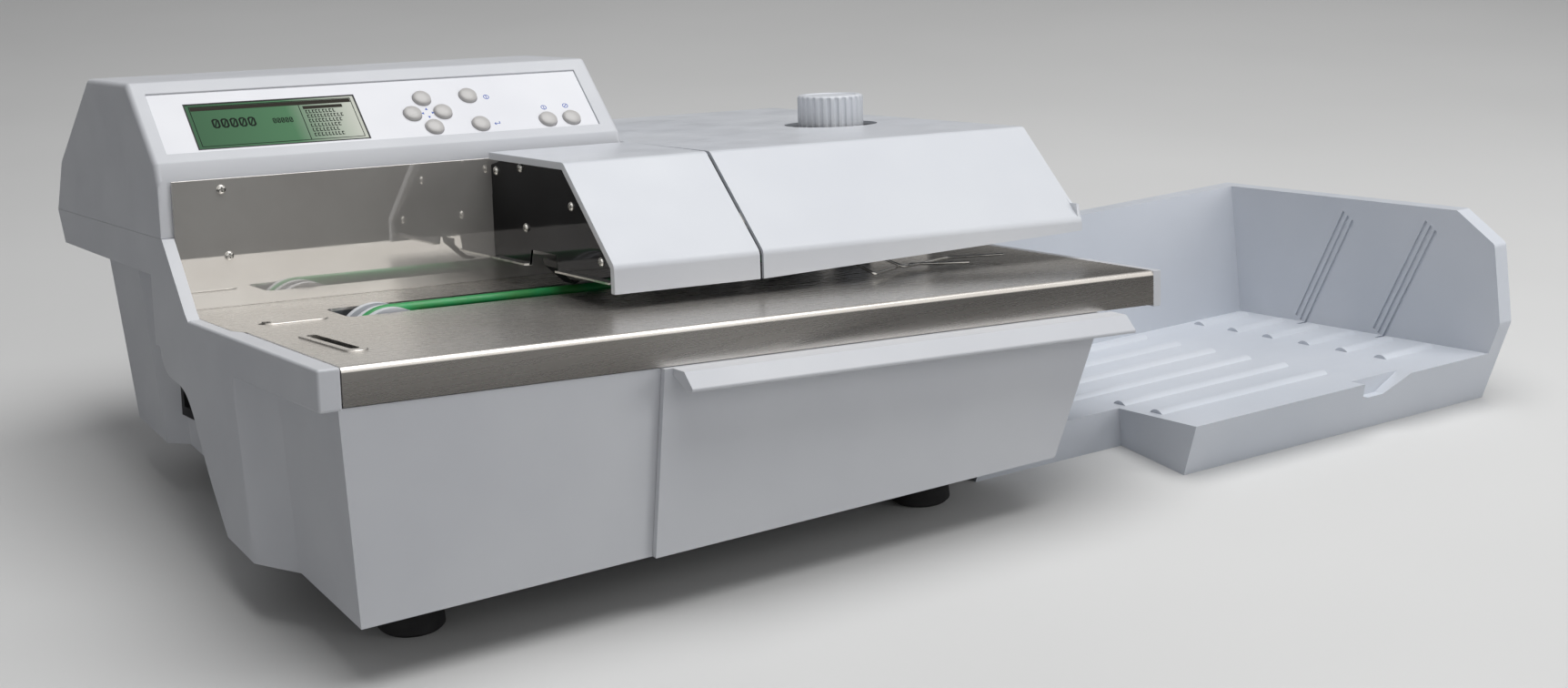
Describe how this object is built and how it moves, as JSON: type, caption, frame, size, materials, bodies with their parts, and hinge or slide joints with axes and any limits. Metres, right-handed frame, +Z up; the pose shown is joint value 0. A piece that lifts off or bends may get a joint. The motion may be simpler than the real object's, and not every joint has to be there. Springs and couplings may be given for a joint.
{
  "type": "electric letter opener",
  "caption": "Electric letter opener with a tilted steel deck and rear fence, belt feed under hinged covers, edge-milling cutter, control console, chip drawer and catch tray.",
  "frame": {"origin": "centre of the front left foot's underside, on the table", "axes": "+X along the feed from the operator's left to right, +Y from the operator to the back, +Z up"},
  "size_m": [1.0155, 0.6295, 0.3191],
  "materials": {
    "white_housing": "fine textured",
    "white_cover": "semi-matt",
    "tray_plastic": "satin",
    "steel_deck": "brushed",
    "mirror_steel": "polished",
    "steel_part": "machined",
    "zinc_sheet": "zinc plated",
    "screw_steel": "bright",
    "black_rubber": "matt",
    "green_belt": "satin",
    "black_plastic": "matt",
    "light_nylon": "satin",
    "panel_film": "satin",
    "lcd_glass": "clear over green",
    "button_plastic": "satin",
    "board_green": "solder mask",
    "motor_black": "satin",
    "aluminium_part": "milled",
    "galvanised_sheet": "galvanised"
  },
  "bodies": {
    "base": {"base_housing": "white_housing", "base_pan": "galvanised_sheet", "feet": "black_rubber", "power_inlet": "black_plastic", "switch_frame": "black_plastic", "deck_plate": "steel_deck", "end_rail": "white_housing", "fence_plate": "mirror_steel", "feeder_side_plate": "mirror_steel", "plate_screws": "screw_steel", "separator_pad": "black_rubber", "drive_frame": "zinc_sheet", "bearings": "screw_steel", "feed_belt": "green_belt", "transport_belt": "green_belt", "timing_belt": "black_rubber", "feed_motor": "motor_black", "chassis_plate": "galvanised_sheet", "chip_chute": "galvanised_sheet", "carriage_guides": "steel_part", "knob_bridge": "zinc_sheet", "hinge_brackets": "zinc_sheet", "hinge_pins": "steel_part", "roller_beam": "zinc_sheet", "exit_guides": "steel_part", "console_housing": "white_housing", "console_panel": "panel_film", "lcd_module": "lcd_glass", "button_board": "board_green", "power_supply": "board_green", "drawer_runners": "zinc_sheet", "output_tray": "tray_plastic"},
    "main_cover": {"main_cover": "white_cover", "cover_knuckles": "zinc_sheet"},
    "feeder_hood": {"feeder_hood": "white_cover", "hood_knuckles": "zinc_sheet"},
    "chip_drawer": {"drawer_front": "white_housing", "chip_bin": "black_plastic"},
    "depth_knob": {"depth_knob": "light_nylon"},
    "cutter_carriage": {"cutter_carriage": "aluminium_part", "cutter_motor": "motor_black"},
    "milling_cutter": {"milling_cutter": "steel_part"},
    "idler_pulley": {"idler_pulley": "light_nylon"},
    "drive_pulley": {"drive_pulley": "light_nylon"},
    "transport_drive_roller": {"transport_drive_roller": "light_nylon"},
    "transport_end_roller": {"transport_end_roller": "light_nylon"},
    "motor_shaft": {"motor_shaft": "steel_part"},
    "roller_arm_left": {"roller_arm_left": "zinc_sheet"},
    "roller_arm_right": {"roller_arm_right": "zinc_sheet"},
    "pressure_roller_left": {"pressure_roller_left": "black_rubber"},
    "pressure_roller_right": {"pressure_roller_right": "black_rubber"},
    "switch_rocker": {"switch_rocker": "black_plastic"},
    "button_up": {"button_up": "button_plastic"},
    "button_left": {"button_left": "button_plastic"},
    "button_right": {"button_right": "button_plastic"},
    "button_down": {"button_down": "button_plastic"},
    "button_menu": {"button_menu": "button_plastic"},
    "button_enter": {"button_enter": "button_plastic"},
    "button_start": {"button_start": "button_plastic"},
    "button_stop": {"button_stop": "button_plastic"}
  },
  "joints": [
    {"name": "cover_lift", "type": "hinge", "parent": "base", "child": "main_cover", "pos_m": [0.43884, 0.50201, 0.17698], "axis": [-0.9973, 0, 0.0741], "range_deg": [0, 75]},
    {"name": "hood_lift", "type": "hinge", "parent": "base", "child": "feeder_hood", "pos_m": [0.24283, 0.24933, 0.23814], "axis": [-0.9973, 0, 0.0741], "range_deg": [0, 75]},
    {"name": "drawer_slide", "type": "slide", "parent": "base", "child": "chip_drawer", "axis": [0, -1, 0], "range_m": [0, 0.25]},
    {"name": "depth_knob_turn", "type": "hinge", "parent": "base", "child": "depth_knob", "pos_m": [0.51301, 0.28716, 0.23049], "axis": [0.0734, 0.1409, 0.9873], "range_deg": [-60, 60]},
    {"name": "cutter_depth", "type": "slide", "parent": "base", "child": "cutter_carriage", "axis": [-0.0104, 0.99, -0.1405], "range_m": [-0.00136, 0.00136]},
    {"name": "cutter_spin", "type": "hinge", "parent": "cutter_carriage", "child": "milling_cutter", "pos_m": [0.42664, 0.2725, 0.14784], "axis": [0.0734, 0.1409, 0.9873], "continuous": true},
    {"name": "drive_pulley_spin", "type": "hinge", "parent": "base", "child": "drive_pulley", "pos_m": [0.25278, 0.15287, 0.12922], "axis": [-0.0104, 0.99, -0.1405], "continuous": true},
    {"name": "idler_pulley_spin", "type": "hinge", "parent": "base", "child": "idler_pulley", "pos_m": [0.05333, 0.15287, 0.14404], "axis": [-0.0104, 0.99, -0.1405], "continuous": true},
    {"name": "transport_drive_spin", "type": "hinge", "parent": "base", "child": "transport_drive_roller", "pos_m": [0.3043, 0.2016, 0.13423], "axis": [-0.0104, 0.99, -0.1405], "continuous": true},
    {"name": "transport_end_spin", "type": "hinge", "parent": "base", "child": "transport_end_roller", "pos_m": [0.49278, 0.2016, 0.12023], "axis": [-0.0104, 0.99, -0.1405], "continuous": true},
    {"name": "motor_spin", "type": "hinge", "parent": "base", "child": "motor_shaft", "pos_m": [0.21965, 0.23122, 0.1286], "axis": [-0.0104, 0.99, -0.1405], "continuous": true},
    {"name": "roller_arm_left_lift", "type": "hinge", "parent": "base", "child": "roller_arm_left", "pos_m": [0.32892, 0.21068, 0.18216], "axis": [0.0104, -0.99, 0.1405], "range_deg": [0, 12], "stiffness_Nm_per_rad": 0.6},
    {"name": "pressure_roller_left_spin", "type": "hinge", "parent": "roller_arm_left", "child": "pressure_roller_left", "pos_m": [0.36111, 0.2074, 0.15663], "axis": [-0.0104, 0.99, -0.1405], "continuous": true},
    {"name": "roller_arm_right_lift", "type": "hinge", "parent": "base", "child": "roller_arm_right", "pos_m": [0.45058, 0.21068, 0.17312], "axis": [0.0104, -0.99, 0.1405], "range_deg": [0, 12], "stiffness_Nm_per_rad": 0.6},
    {"name": "pressure_roller_right_spin", "type": "hinge", "parent": "roller_arm_right", "child": "pressure_roller_right", "pos_m": [0.48278, 0.2074, 0.14759], "axis": [-0.0104, 0.99, -0.1405], "continuous": true},
    {"name": "button_up_press", "type": "slide", "parent": "base", "child": "button_up", "axis": [-0.0605, 0.577, -0.8145], "range_m": [0, 0.001], "stiffness_N_per_m": 400},
    {"name": "button_left_press", "type": "slide", "parent": "base", "child": "button_left", "axis": [-0.0605, 0.577, -0.8145], "range_m": [0, 0.001], "stiffness_N_per_m": 400},
    {"name": "button_right_press", "type": "slide", "parent": "base", "child": "button_right", "axis": [-0.0605, 0.577, -0.8145], "range_m": [0, 0.001], "stiffness_N_per_m": 400},
    {"name": "button_down_press", "type": "slide", "parent": "base", "child": "button_down", "axis": [-0.0605, 0.577, -0.8145], "range_m": [0, 0.001], "stiffness_N_per_m": 400},
    {"name": "button_menu_press", "type": "slide", "parent": "base", "child": "button_menu", "axis": [-0.0605, 0.577, -0.8145], "range_m": [0, 0.001], "stiffness_N_per_m": 400},
    {"name": "button_enter_press", "type": "slide", "parent": "base", "child": "button_enter", "axis": [-0.0605, 0.577, -0.8145], "range_m": [0, 0.001], "stiffness_N_per_m": 400},
    {"name": "button_start_press", "type": "slide", "parent": "base", "child": "button_start", "axis": [-0.0605, 0.577, -0.8145], "range_m": [0, 0.001], "stiffness_N_per_m": 400},
    {"name": "button_stop_press", "type": "slide", "parent": "base", "child": "button_stop", "axis": [-0.0605, 0.577, -0.8145], "range_m": [0, 0.001], "stiffness_N_per_m": 400},
    {"name": "switch_rock", "type": "hinge", "parent": "base", "child": "switch_rocker", "pos_m": [-0.00023, 0.39534, 0.07087], "axis": [0.9973, 0, -0.0741], "range_deg": [0, 9]}
  ],
  "couplings": [
    {"joint": "depth_knob_turn", "follows": "cutter_depth", "rad_per_m": 766.28},
    {"joint": "idler_pulley_spin", "follows": "drive_pulley_spin", "ratio": 1},
    {"joint": "transport_drive_spin", "follows": "drive_pulley_spin", "ratio": 1},
    {"joint": "transport_end_spin", "follows": "drive_pulley_spin", "ratio": 1},
    {"joint": "motor_spin", "follows": "drive_pulley_spin", "ratio": 1}
  ]
}
